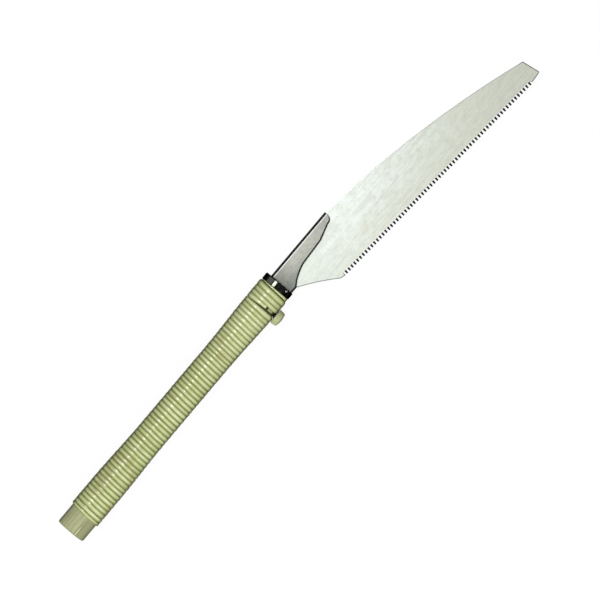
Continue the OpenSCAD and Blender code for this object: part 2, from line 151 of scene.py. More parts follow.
class HolderSettings(bpy.types.PropertyGroup):
    """Sizes and colours of the ferrule and of the folded blade holder"""

    ferrule_wall: length("Ferrule wall", "Wall of the ferrule", 0.0012)
    ferrule_round: length("Ferrule rounding", "Rounding of the ferrule's front edge", 0.0009)
    slot_room: length("Slot room", "Space round the holder in the ferrule's slot", 0.00015)
    sheet: length("Sheet", "Thickness of the folded sheet", 0.0012)
    cut_round: length("Cut rounding", "Rounding of the sheet's cut edges", 0.0003)
    # The dark band along the cut edges is painted shade.
    cut_band: length("Cut band", "Width of the dark band along the sheet's cut edges", 0.00145)
    shoulder: length("Shoulder", "Length of the full shoulder in front of the ferrule", 0.0064)
    shoulder_drop: length("Shoulder drop", "Depth of the shoulder below the axis", 0.0142)
    neck: length("Neck", "Distance from the ferrule to the end of the scooped neck", 0.0268)
    neck_drop: length("Neck drop", "Depth of the cheek at the end of the neck", 0.0051)
    bend: length("Bend", "Distance from the ferrule to the bend of the lower edge", 0.0527)
    bend_drop: length("Bend drop", "Depth of the cheek at the bend", 0.0035)
    nose: length("Nose", "Distance from the ferrule to the rounded nose", 0.0684)
    nose_rise: length("Nose rise", "Height of the lower edge at the nose", 0.0011)
    tang_rise: length("Tang rise", "Height of the tang's lower edge above the axis", 0.0003)
    plating: colour("Plating", "Colour of the ferrule's dark plating", (0.022, 0.023, 0.020))
    near_steel: colour("Near steel", "Colour of the sheet beside the ferrule", (0.20, 0.21, 0.185))
    far_steel: colour("Far steel", "Colour of the sheet towards its nose", (0.36, 0.365, 0.325))
    black_fold: colour("Black fold", "Colour of the blackened back fold", (0.012, 0.012, 0.013))
    brad_steel: colour("Brad steel", "Colour of the brad", (0.28, 0.28, 0.27))
    bright_steel: colour("Bright steel", "Colour of the pins", (0.72, 0.72, 0.70))


class BladeSettings(bpy.types.PropertyGroup):
    """Sizes and colours of the saw blade"""

    thickness: length("Thickness", "Thickness of the blade", 0.0007)
    chamfer: length("Chamfer", "Width of the broken edge round the blade", 0.0008)
    tail_drop: length("Tail drop", "Depth of the tail's lower edge below the axis", 0.002)
    notch_room: length("Notch room", "Space round the hook pin in the tail's notch", 0.00008)
    shoulder: length("Shoulder", "Set-back of the blade's shoulder from the ferrule", 0.004)
    back_clear: length("Back clearance", "Clearance of the blade inside the holder's outline", 0.0002)
    heel_reach: length("Heel reach", "Distance from the ferrule to the heel's corner", 0.0383)
    heel_drop: length("Heel drop", "Depth of the line of points at the heel's corner", 0.0404)
    heel_rise: length("Heel rise", "Height of the heel's corner over the line of points", 0.0012)
    heel_bow: length("Heel bow", "Bow of the scooped heel from its chord", 0.0009)
    heel_plain: length("Heel plain", "Plain edge between the heel's corner and the first gullet", 0.0054)
    edge_slope: angle("Edge slope", "Slope of the toothed edge away from the axis", math.radians(4.1))
    teeth: count("Teeth", "Number of teeth", 66)
    tooth_pitch: length("Tooth pitch", "Distance from tooth to tooth", 0.003636)
    tooth_height: length("Tooth height", "Height of the teeth", 0.0035)
    tooth_set: length("Set", "How far the teeth lean out to each side in turn", 0.00012)
    tooth_bevel: length("Bevel", "Width of the filed bevel on each tooth's face", 0.00035)
    gullet: length("Gullet", "Width of the gullet's floor", 0.00135)
    face_run: length("Face run", "Run of the steep face on the handle's side of a tooth", 0.0003)
    point: length("Point", "Width of a tooth's point", 0.0015)
    tip_plain: length("Tip plain", "Plain edge between the last tooth and the tip", 0.0128)
    last_rise: length("Last rise", "Rise of the plain edge over the points' line at the last tooth", 0.0009)
    tip_rise: length("Tip rise", "Rise of the plain edge over the points' line at the tip", 0.0025)
    tip_height: length("Tip height", "Height of the blade at its tip", 0.0179)
    tip_lean: length("Tip lean", "Lean of the tip's end, back from its lower corner", 0.0028)
    tip_round: length("Tip rounding", "Rounding of the tip's lower corner", 0.002)
    back_lead: length("Back lead", "Straight lead of the back in front of the holder", 0.010)
    back_run: length("Back run", "Run of the back behind the tip that sets its slope", 0.112)
    back_slope: angle("Back slope", "Slope of the back at the tip", math.radians(18.8))
    pale_steel: colour("Pale steel", "Colour of the plated flat near the holder", (0.77, 0.82, 0.785))
    heel_steel: colour("Heel steel", "Colour of the plated flat at the heel", (0.645, 0.70, 0.645))
    # The tip steel also carries the painted shade towards the tip and the teeth.
    tip_steel: colour("Tip steel", "Colour of the plated flat near the tip", (0.655, 0.68, 0.59))
    # The edge steel is dark as painted shade on the broken edge.
    edge_steel: colour("Edge steel", "Colour of the broken edge", (0.20, 0.205, 0.205))
    tooth_black: colour("Tooth black", "Colour of the hardened teeth", (0.012, 0.013, 0.012))


class ClampSettings(bpy.types.PropertyGroup):
    """Sizes and colours of the thumb screw and its fittings"""

    knob_round: length("Knob rounding", "Rounding of the knob's outer edge", 0.0016)
    inner_round: length("Inner rounding", "Rounding of the knob's inner edge", 0.0004)
    knob_draft: length("Knob draft", "Narrowing of the knob towards its outer face", 0.0004)
    knob_dome: length("Knob dome", "Height of the dome on the knob's outer face", 0.0008)
    # The boss is black as a painted shadow between the knob and the handle.
    boss: length("Boss", "Height of the black boss on the knob's inner face", 0.0003)
    boss_inset: length("Boss inset", "Distance of the boss from the knob's side", 0.0005)
    hub: length("Hub", "Height of the hub round the screw, on the knob's inner face", 0.0014)
    hub_r: length("Hub radius", "Radius of the hub's end", 0.0024)
    screw_seat: length("Screw seat", "Depth of the screw in the knob", 0.005)
    spigot: length("Spigot", "Length of the screw's plain spigot", 0.0016)
    spigot_r: length("Spigot radius", "Radius of the screw's plain spigot", 0.0013)
    thread_pitch: length("Thread pitch", "Advance of the screw in one turn", 0.0008)
    thread_depth: length("Thread depth", "Depth of the thread", 0.00045)
    knob_plastic: colour("Knob plastic", "Colour of the moulded knob", (0.47, 0.50, 0.27))
    knob_shade: colour("Knob shade", "Colour of the knob's darker streaks", (0.36, 0.39, 0.19))
    # The screw black is also painted shadow on the knob's bore wall and boss.
    screw_black: colour("Screw black", "Colour of the blackened screw", (0.016, 0.016, 0.015))
    brass: colour("Brass", "Colour of the nut and the shoe", (0.62, 0.46, 0.20))


class StageSettings(bpy.types.PropertyGroup):
    """Camera, floor and light"""

    camera_x: position("Camera X", "Place of the camera along the saw", 0.2923)
    camera_y: position("Camera Y", "Place of the camera across the saw", -0.0237)
    camera_height: length("Camera height", "Height of the camera over the blade's plane", 4.05)
    turn: angle("Turn", "Turn of the saw in the picture", math.radians(49.84))
    lens: focus("Lens", "Focal length of the camera", 270)
    floor_white: share("Floor white", "Share of the floor's white that doesn't depend on light", 0.93)
    floor_paper: share("Floor paper", "Share of light that the floor's paper throws back", 0.10)
    room_low: share("Room low", "Brightness of the room at the level of the floor", 0.03)
    room_high: share("Room high", "Brightness of the room overhead", 0.50)
    key: power("Key", "Power of the small lamp over the grip, on the back's side", 2.8)
    strip: power("Strip", "Power of the strip lamp over the ferrule", 3.6)
    fill: power("Fill", "Power of the broad lamp on the teeth's side", 17.5)
    glint: power("Glint", "Power of the low strip lamp on the back's side", 1.0)


class Wire:
    """A shader socket. Arithmetic on it adds Math nodes, and add() makes any other node."""

    def __init__(self, tree, socket=None):
        self.tree = tree
        self.socket = socket

    def add(self, kind, sockets=None, settings=None, output=0):
        """Adds a node, sets its settings, then its sockets from values or wires, and returns one output."""
        node = self.tree.nodes.new("ShaderNode" + kind)
        for name, value in (settings or {}).items():
            setattr(node, name, value)
        for name, value in (sockets or {}).items():
            if isinstance(value, Wire):
                self.tree.links.new(value.socket, node.inputs[name])
            else:
                node.inputs[name].default_value = value
        return Wire(self.tree, node.outputs[output] if node.outputs else None)

    def math(self, operation, *values):
        return self.add("Math", dict(enumerate(values)), {"operation": operation})

    def __add__(self, other):
        return self.math("ADD", self, other)

    __radd__ = __add__

    def __sub__(self, other):
        return self.math("SUBTRACT", self, other)

    def __rsub__(self, other):
        return self.math("SUBTRACT", other, self)

    def __mul__(self, other):
        return self.math("MULTIPLY", self, other)

    __rmul__ = __mul__

    def __pow__(self, other):
        return self.math("POWER", self, other)

    def __abs__(self):
        return self.math("ABSOLUTE", self)

    def sine(self):
        return self.math("SINE", self)

    def larger(self, other):
        return self.math("MAXIMUM", self, other)

    def step(self, low, high):
        """Smooth step from 0 where the value is low to 1 where it is high."""
        return self.add("MapRange", {"Value": self, "From Min": low, "From Max": high},
                        {"interpolation_type": "SMOOTHSTEP"})

    def mix(self, first, second):
        """Colour that goes from the first to the second as this value goes from 0 to 1."""
        return self.add("Mix", {0: self, 6: first, 7: second}, {"data_type": "RGBA"}, output=2)

    def grain(self, stretch, detail=2.0):
        """Noise from 0 to 1 at this vector, stretched by three factors."""
        place = self.add("VectorMath", {0: self, 1: stretch}, {"operation": "MULTIPLY"})
        return self.add("TexNoise", {"Vector": place, "Scale": 1.0, "Detail": detail}, output="Fac")

    def parts(self):
        """X, Y and Z of this vector."""
        node = self.add("SeparateXYZ", {0: self}).socket.node
        return [Wire(self.tree, socket) for socket in node.outputs]


def seen_rays(start):
    """1 for what the camera sees, straight on, in a reflection or through glass, and 0 for falling light."""
    straight, glossy, through = [start.add("LightPath", output=kind) for kind in
                                 ("Is Camera Ray", "Is Glossy Ray", "Is Transmission Ray")]
    return straight.larger(glossy).larger(through)


def paint(value):
    """Colour with full alpha, as a socket takes it."""
    return (*value, 1.0)


def shade(value, factor):
    """Colour made darker or lighter by a factor."""
    return [factor * part for part in value]


def coats(base, *layers):
    """Colour in coats. Each is a mask from 0 to 1, and the colour that covers the rest where it is 1."""
    coat = paint(base)
    for mask, over in layers:
        coat = mask.mix(coat, paint(over))
    return coat


def bare_tree(owner):
    """Wire to start the nodes of a material or a world from, with none there yet."""
    owner.use_nodes = True
    owner.node_tree.nodes.clear()
    return Wire(owner.node_tree)


def new_finish(name):
    """New material with one node, and that node's wire: the object's own coordinates."""
    material = bpy.data.materials.new(name)
    return material, bare_tree(material).add("TexCoord", output="Object")


def close_finish(material, sockets, height, depth, strength):
    """Puts the sockets on a Principled shader, with a bump of this depth from the height."""
    raised = height.add("Bump", {"Height": height, "Distance": depth, "Strength": strength})
    shader = height.add("BsdfPrincipled", {**sockets, "Normal": raised})
    height.add("OutputMaterial", {"Surface": shader})
    return material


def core_wood(handle):
    """Wood with rings round a heart outside the core, fine grain along X and short dark pores. The lower half
    is darker as painted shade, under split lines that follow the grain, with a painted highlight along the
    split near the end. The narrow sides, the end's rim and the core under the binding are darkened with
    painted shade."""
    material, place = new_finish("core_wood")
    x, y, z = place.parts()
    sway = place.grain((14, 70, 70)) * 0.005
    heart = ((y + 0.016 + sway) ** 2 + (z - 0.030 + sway) ** 2) ** 0.5
    ring = (heart * (2 * math.pi / handle.ring_width)).sine() * 0.5 + 0.5
    fine = place.grain((45, 1500, 1500), 3.0)
    pores = place.grain((160, 2600, 2600), 1.0).step(0.62, 0.72)
    seam = y + 0.0034 + sway * 0.3
    # Painted shade: the lower half is darker.
    shaded_lower_half = 1 - seam.step(-0.003, 0.0005)
    split = 1 - x.step(0.010, 0.022) * 0.7
    # Painted highlight: a bright line beside the split near the end.
    seam_highlight = 1 - x.step(0.005, 0.012)
    # Painted shade on the narrow sides and the rim of the end.
    wear_and_shade = abs(y).step(0.0112, 0.0142).larger((1 - x.step(0.0002, 0.0012)) * 0.8)
    # Painted shade on the core under the binding.
    bound = x.step(handle.butt_bare + 0.0009, handle.butt_bare + 0.0026)

    def line(distance, width):
        """1 on a line, at no distance from it, down to 0 at the width."""
        return 1 - abs(distance).step(0.0002, width)

    wood = coats(
        handle.pale_wood,
        (ring * 0.6 + fine * 0.7 - 0.15, handle.dark_wood),
        (pores * 0.55, handle.pore),
        (shaded_lower_half * 0.75, shade(handle.dark_wood, 0.85)),
        (line(seam, 0.0008) * split * 0.6, handle.pore),
        (line(seam + 0.0025, 0.0009) * split * 0.5, handle.pore),
        (line(seam + 0.0012, 0.0009) * seam_highlight * 0.8, shade(handle.pale_wood, 1.35)),
        (wear_and_shade * 0.75, handle.side_shade_wood),
        (bound * 0.95, handle.bound_shade_wood))
    sockets = {"Base Color": wood, "Roughness": 0.55 + fine * 0.2, "Specular IOR Level": 0.05}
    return close_finish(material, sockets, fine - pores * 0.6, 0.00012, 0.5)


def cane_skin(cane):
    """Glossy cane: slow changes of tone along the strip, paler towards the head as painted light, fibres,
    brown marks and painted shade on the edges down in the grooves. The narrow sides are darker with painted
    shade, and matt."""
    material, place = new_finish("cane_skin")
    strip = place.add("UVMap", settings={"uv_map": "strip"})
    side = place.add("Attribute", settings={"attribute_name": "side"}, output="Fac")
    x, _, _ = place.parts()
    _, across, _ = strip.parts()
    rib = abs(across * 2 - 1)
    # Painted light: paler towards the head, with less painted groove shade there.
    head_light = x.step(0.17, 0.25)
    tone = strip.grain((11, 0.25, 0)).step(0.34, 0.66) + head_light * 0.3
    fibre = strip.grain((70, 26, 0), 3.0)
    fleck = strip.grain((240, 9, 0), 2.0).step(0.62, 0.75)
    marks = strip.grain((33, 0.9, 4), 1.0).step(0.62, 0.74)
    mottle = strip.grain((430, 1.6, 8), 2.0).step(0.35, 0.65)
    patch = place.grain((40, 55, 55), 2.0).step(0.56, 0.70)
    skin = coats(
        cane.green_skin,
        (tone, cane.pale_skin),
        ((fibre - 0.3) * 0.55, cane.green_skin),
        (mottle * 0.22, cane.green_skin),
        (fleck * 0.3, cane.stain),
        (marks.larger(patch) * 0.45, cane.stain),
        # Painted shade on the strip's edges, down in the grooves, less towards the head.
        (rib.step(0.05, 1.0) * (0.95 - head_light * 0.18), cane.groove_shade),
        # Painted shade on the narrow sides, from the side value.
        (side.step(0.78, 0.99) * 0.70, cane.side_shade_skin))
    raised = place.add("Bump", {"Height": fibre, "Distance": 0.00002, "Strength": 0.4})
    glossy, matt = [
        place.add("BsdfPrincipled", {"Base Color": skin, "Roughness": rough, "Specular IOR Level": gloss,
                                     "Normal": raised})
        for rough, gloss in ((0.17 + fibre * 0.12, 0.42), (0.7 + fibre * 0.2, 0.0))]
    surface = place.add("MixShader", {0: side.step(0.70, 0.92), 1: glossy, 2: matt})
    place.add("OutputMaterial", {"Surface": surface})
    return material


def dark_plating(holder):
    """Dark polished plating with fine rubbing marks round the ferrule, and painted shade making its narrow
    sides black.
    """
    material, place = new_finish("dark_plating")
    _, y, _ = place.parts()
    rubbed = place.grain((2600, 90, 90), 3.0)
    wear_and_shade = place.grain((300, 300, 300), 2.0).step(0.62, 0.74)
    plating = coats(
        holder.plating,
        (wear_and_shade * 0.12, holder.near_steel),
        # Painted shade: the narrow sides are black.
        (abs(y).step(0.0105, 0.0130) * 0.7, BLACK))
    sockets = {"Base Color": plating, "Roughness": 0.04 + rubbed * 0.06, "Metallic": 1.0,
               "Specular Tint": (0.04, 0.04, 0.04, 1)}
    return close_finish(material, sockets, rubbed, 0.00001, 0.2)


def folded_steel(holder):
    """Sheet brushed along X, darker beside the ferrule and brighter to its back, with a painted highlight
    band on the cheek, a blackened back fold over a painted highlight line, and dark cut edges painted as
    shade."""
    material, place = new_finish("folded_steel")
    rim = place.add("Attribute", settings={"attribute_name": "rim"}, output="Fac")
    x, y, _ = place.parts()
    brushed = place.grain((16, 2200, 2200), 3.0)
    cloud = place.grain((70, 70, 70), 3.0)
    pitted = place.grain((900, 900, 900), 2.0).step(0.60, 0.72)
    blotch = place.grain((380, 380, 380), 2.0).step(0.40, 0.70)
    top = HOLDER_HIGH.y
    fold = y.step(top - 0.0024, top - 0.0020)
    # Painted highlight: a bright line under the back fold.
    bright = y.step(top - 0.0033, top - 0.0028) * (1 - fold)
    # The rim value marks the cut edges' dark band, which is painted shade.
    dark = fold.larger(rim)
    # Painted highlight: a band on the cheek that brightens and fades along X.
    rise = x.step(MOUTH_X, MOUTH_X + 0.024) * 0.28
    fall = x.step(MOUTH_X + 0.044, MOUTH_X + 0.064) * 0.18
    cheek_highlight = y.step(-0.014, 0.004) * (0.12 + rise - fall)
    steel = coats(
        holder.near_steel,
        (x.step(MOUTH_X, MOUTH_X + 0.034), holder.far_steel),
        ((brushed - 0.35) * 0.9, shade(holder.near_steel, 0.5)),
        (cloud.step(0.45, 0.7) * 0.35, holder.near_steel),
        (blotch * 0.4, shade(holder.near_steel, 0.55)),
        (pitted * 0.25, shade(holder.near_steel, 0.4)),
        (cheek_highlight, shade(holder.far_steel, 1.5)),
        (bright * 0.5, (0.95, 0.95, 0.93)),
        (dark * 0.98, holder.black_fold))
    sockets = {"Base Color": steel, "Roughness": 0.34 + brushed * 0.16 + dark * 0.2, "Metallic": 1 - dark,
               "Specular IOR Level": 0.02}
    return close_finish(material, sockets, brushed, 0.00003, 0.3)


def over_points(blade, x, y):
    """Height of a place over the line of the teeth's points, which falls away from the heel's corner."""
    return y + blade.heel_drop + (x - MOUTH_X - blade.heel_reach) * math.tan(blade.edge_slope)


def saw_steel(blade):
    """Plated flat: pale near the holder, greyer to the heel, and greyer towards the teeth and the tip as
    painted shade, with streaks along X, clouds, blotches and fine stains."""
    material, place = new_finish("saw_steel")
    x, y, _ = place.parts()
    # Painted shade: greyer towards the teeth.
    teeth_shade = 1 - over_points(blade, x, y).step(0.006, 0.038)
    to_heel = 1 - x.step(MOUTH_X + 0.01, MOUTH_X + 0.09)
    streak = place.grain((16, 620, 1), 3.0)
    cloud = place.grain((42, 95, 1), 4.0)
    stain = place.grain((260, 420, 1), 3.0)
    blotch = place.grain((120, 190, 1), 2.0)
    steel = coats(
        blade.pale_steel,
        # Painted shade: greyer towards the tip.
        (x.step(MOUTH_X + 0.06, BLADE_HIGH.x), blade.tip_steel),
        (teeth_shade * 0.65, blade.tip_steel),
        (to_heel * 0.8, blade.heel_steel),
        (streak.step(0.42, 0.75) * 0.38, shade(blade.tip_steel, 0.80)),
        (cloud.step(0.42, 0.72) * 0.55, blade.tip_steel),
        (blotch.step(0.40, 0.68) * 0.38, shade(blade.tip_steel, 0.86)),
        (stain.step(0.50, 0.70) * 0.30, shade(blade.tip_steel, 0.75)))
    sockets = {"Base Color": steel, "Roughness": 0.46 + streak * 0.14, "Metallic": 1.0}
    return close_finish(material, sockets, streak, 0.00002, 0.2)


def hardened_teeth(blade):
    """Black scale of the hardened teeth, with a few brighter rubbed spots, up to the plated flat."""
    material, place = new_finish("hardened_teeth")
    x, y, _ = place.parts()
    scale = place.grain((900, 900, 900), 3.0)
    black = coats(
        blade.tooth_black,
        (scale.step(0.5, 0.8) * 0.12, blade.edge_steel),
        (over_points(blade, x, y).step(0.0030, 0.0034), blade.tip_steel))
    sockets = {"Base Color": black, "Roughness": 0.4 + scale * 0.25, "Metallic": 0.6,
               "Specular IOR Level": 0.1}
    return close_finish(material, sockets, scale, 0.00003, 0.3)


def broken_edge(blade):
    """Bare ground steel on the edges, darkened as painted shade, with grinding lines across them, and thin
    plating on the back.
    """
    material, place = new_finish("broken_edge")
    x, y, _ = place.parts()
    ground = place.grain((1800, 1800, 300), 2.0)
    on_back = over_points(blade, x, y).step(0.010, 0.016)
    in_front = x.step(MOUTH_X + 0.05, MOUTH_X + 0.07)
    off_tip = 1 - x.step(BLADE_HIGH.x - 0.008, BLADE_HIGH.x - 0.004)
    thinner = 0.85 - x.step(MOUTH_X + 0.08, MOUTH_X + 0.20) * 0.4
    # Painted shade: the edge steel is dark.
    edge = coats(
        blade.edge_steel,
        (ground.step(0.3, 0.7) * 0.5, shade(blade.edge_steel, 1.6)),
        (on_back * in_front * off_tip * thinner, blade.pale_steel))
    sockets = {"Base Color": edge, "Roughness": 0.4 + ground * 0.2, "Metallic": 1.0}
    return close_finish(material, sockets, ground, 0.00002, 0.3)


def knob_plastic(clamp):
    """Moulded plastic with faint flow streaks along the knob's axis, a fine grain and painted shade on the
    outer edge.
    """
    material, place = new_finish("knob_plastic")
    _, y, _ = place.parts()
    flow = place.grain((420, 110, 420), 3.0)
    skin = place.grain((2600, 2600, 2600), 2.0)
    # Painted shade on the outer edge.
    outer_edge_shade = 1 - y.step(KNOB_LOW.y + 0.0006, KNOB_LOW.y + 0.0024)
    plastic = coats(
        clamp.knob_plastic,
        ((flow - 0.3) * 0.9, clamp.knob_shade),
        (outer_edge_shade * 0.6, shade(clamp.knob_shade, 0.5)))
    sockets = {"Base Color": plastic, "Roughness": 0.34 + skin * 0.2, "Specular IOR Level": 0.06}
    return close_finish(material, sockets, skin, 0.00004, 0.3)


def turned_metal(name, base, dull):
    """Bare metal with fine turning lines and duller patches."""
    material, place = new_finish(name)
    lines = place.grain((1500, 1500, 1500), 3.0)
    patch = place.grain((260, 260, 260), 2.0).step(0.45, 0.7)
    metal = coats(base, (patch * 0.5, shade(base, dull)))
    sockets = {"Base Color": metal, "Roughness": 0.25 + lines * 0.25, "Metallic": 1.0}
    return close_finish(material, sockets, lines, 0.00002, 0.3)


def ring_angles(points):
    """Angles of points spaced evenly round a circle."""
    return np.linspace(0, 2 * np.pi, points, endpoint=False)


def quarter(points):
    """Angles of points spaced evenly over a quarter of a circle, both ends among them."""
    return np.linspace(0, np.pi / 2, points)


def grid_faces(rows, columns, wrap_rows=False, wrap_columns=False):
    """Quads between neighbours of a grid of points, which may close on itself either way."""
    index = np.arange(rows * columns).reshape(rows, columns)
    if wrap_rows:
        index = np.vstack([index, index[:1]])
    if wrap_columns:
        index = np.hstack([index, index[:, :1]])
    return np.stack([index[:-1, :-1], index[1:, :-1], index[1:, 1:], index[:-1, 1:]], -1).reshape(-1, 4)


def tube_faces(rows, columns):
    """Quads round a tube of closed loops, one loop in a row, and one flat face over each of its ends."""
    loop = np.arange(columns)
    return [grid_faces(rows, columns, wrap_columns=True), np.stack([loop[::-1], loop + (rows - 1) * columns])]


def loops(x, yz):
    """Loops of points (Y, Z), each set at its own X."""
    return np.concatenate([np.broadcast_to(x[:, None, None], (*yz.shape[:2], 1)), yz], -1)


def turned(radius, y, phi):
    """Profile turned round the screw's axis: radius times (cos, sin) in X and Z, at each row's height y."""
    return np.stack(np.broadcast_arrays(
        SCREW_X + radius * np.cos(phi), y[:, None], radius * np.sin(phi)), -1)


def volume(points, faces):
    """Signed volume inside the faces: the sum, over a fan of triangles in each, of a corner dotted with the
    cross product of the other two, over six."""
    fans = [(face[:, [0]].repeat(face.shape[1] - 2, 1), face[:, 1:-1], face[:, 2:]) for face in faces]
    return sum(np.sum(points[a] * np.cross(points[b], points[c])) for a, b, c in fans) / 6


def new_object(name, data):
    """New object in the scene that shows a mesh, a lamp or a camera."""
    thing = bpy.data.objects.new(name, data)
    bpy.context.scene.collection.objects.link(thing)
    return thing


def make_piece(name, body, points, faces, finishes, kinds=None, strip=None, spots=None, sharp=50):
    """New piece from points and groups of faces of one size each, turned outwards, riding on a CAD body.
    Kinds are the faces' finishes, strip the points' places on a UV map, spots other values at the points, and
    sharp the least angle in degrees of an edge that isn't shaded smooth."""
    points = points.reshape(-1, 3)
    if volume(points, faces) < 0:
        faces = [face[:, ::-1] for face in faces]
    corners = np.concatenate([face.ravel() for face in faces])
    sizes = np.concatenate([np.full(len(face), face.shape[1]) for face in faces])
    starts = np.cumsum(sizes) - sizes
    mesh = bpy.data.meshes.new(name)
    mesh.vertices.add(len(points))
    mesh.vertices.foreach_set("co", points.astype(np.float32).ravel())
    mesh.loops.add(len(corners))
    mesh.loops.foreach_set("vertex_index", corners.astype(np.int32))
    mesh.polygons.add(len(sizes))
    mesh.polygons.foreach_set("loop_start", starts.astype(np.int32))
    mesh.polygons.foreach_set("use_smooth", np.ones(len(sizes), bool))
    if kinds is not None:
        mesh.polygons.foreach_set("material_index", np.concatenate(kinds).astype(np.int32))
    mesh.update(calc_edges=True)
    if mesh.validate():
        raise RuntimeError(f"{name} has faces that Blender had to mend")
    mesh.set_sharp_from_angle(angle=math.radians(sharp))
    if strip is not None:
        mesh.uv_layers.new(name="strip").data.foreach_set("uv", strip[corners].astype(np.float32).ravel())
    for spot, values in (spots or {}).items():
        attribute = mesh.attributes.new(spot, "FLOAT", "POINT")
        attribute.data.foreach_set("value", values.astype(np.float32).ravel())
    for finish in finishes:
        mesh.materials.append(finish)
    piece = new_object(name, mesh)
    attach(piece, body)
    return piece


def dress(finish, *nodes):
    """Gives CAD nodes that stay in sight a better finish."""
    for node in nodes:
        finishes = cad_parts[node].data.materials
        finishes.clear()
        finishes.append(finish)


def ease(start, end, part):
    """Value that goes from start to end by half a cosine wave as the part goes from 0 to 1."""
    return start + (end - start) * (1 - np.cos(np.pi * np.clip(part, 0, 1))) / 2


def wave(t, period, phase):
    """Sine of t that comes round after each period."""
    return np.sin(2 * np.pi * t / period + phase)


def hump(t, middle, spread, power_of=2):
    """Hump of height 1 at the middle: e to minus a power of the distance from it over the spread."""
    return np.exp(-((t - middle) / spread) ** power_of)


def bend(first, pull, last, steps):
    """Points of a curve between two points, drawn to a third: weights (1-t)^2, 2t(1-t) and t^2."""
    t = np.linspace(0, 1, steps + 1)[:, None]
    return (1 - t) ** 2 * np.array(first) + 2 * t * (1 - t) * np.array(pull) + t * t * np.array(last)


def core_half(handle, x):
    """Half the core's height at x: the butt's, eased down to the waist's, then eased up to the head's."""
    flare_end = handle.butt_bare + handle.butt_flare
    waist_end = BIND_END - handle.head_flare - handle.head_taper
    down = ease(handle.butt_half, handle.waist_half, (x - flare_end) / handle.butt_taper)
    return down + ease(0, handle.head_half - handle.waist_half, (x - waist_end) / handle.head_taper)


def oval_point(half, theta, out, oval):
    """Point of the oval section at an angle from the back, moved outwards along the oval's normal."""
    normal = np.stack([oval * np.cos(theta), np.sin(theta)], -1)
    normal = normal / np.linalg.norm(normal, axis=-1, keepdims=True)
    return half[..., None] * np.stack([np.cos(theta), oval * np.sin(theta)], -1) + out[..., None] * normal


def cane_strip(handle, cane, t, edge, spare, start_angle, low, high, tuck, phase):
    """Strip wound round the core. Along it runs t, in turns; across it runs q from -1 to 1. It covers X from
    edge(t) to edge(t + 1) less the gap and what is spare, kept between low and high, at an angle that falls
    by a full turn as t grows by 1. Its crown stands 1-q^2 of the way from the square edge's height to the
    full height, which is less where the strip is narrow, and times tuck. Gap, height and tilt change a little
    in slow waves from the phase. Also gives how far each point lies to the narrow sides, |cos| of the
    angle."""
    across, least_width, most_tilt = 11, 0.00004, 0.0001
    loose = cane.gap * (1.1 + 0.7 * wave(t, 3.7, phase) * wave(t, 9.1, 2 * phase))
    rear = np.maximum(edge(t), low)
    front = np.minimum(edge(t + 1) - loose - spare, high)
    width = np.maximum(front - rear, least_width)
    q = -np.cos(np.pi * np.linspace(0, 1, across))
    full = cane.height * np.clip(width / cane.full_width, 0.1, 1) ** 0.6
    full = full * (1 + 0.04 * wave(t, 2.3, 3 * phase)) * tuck
    shoulder = full * cane.edge / cane.height
    crown = shoulder[:, None] + (full - shoulder)[:, None] * (1 - q * q)
    tilt = most_tilt * wave(t, 5.3, phase)
    crown = np.maximum(crown + tilt[:, None] * q, 2 * cane.seat)
    q = np.concatenate([q, [1, -1]])
    out = np.hstack([crown, np.full((len(t), 2), cane.seat)])
    x = (rear + width / 2)[:, None] + q * width[:, None] / 2
    theta = np.broadcast_to((start_angle - 2 * np.pi * t)[:, None], x.shape)
    yz = oval_point(core_half(handle, x), theta, out, handle.oval)
    points = np.concatenate([x[..., None], yz], -1)
    crest = points[:, across // 2]
    run = np.concatenate([[0], np.cumsum(np.linalg.norm(np.diff(crest, axis=0), axis=1))])
    strip = np.stack(np.broadcast_arrays(run[:, None] + phase, (q + 1) / 2), -1)
    return points.reshape(-1, 3), tube_faces(*x.shape), strip.reshape(-1, 2), np.abs(np.cos(theta))


class SAW_OT_core(bpy.types.Operator):
    """Finish the wooden core"""

    bl_idname = "saw.core"
    bl_label = "Core"

    def execute(self, context):
        dress(core_wood(context.scene.saw_handle), "core_upper", "core_lower")
        return {"FINISHED"}


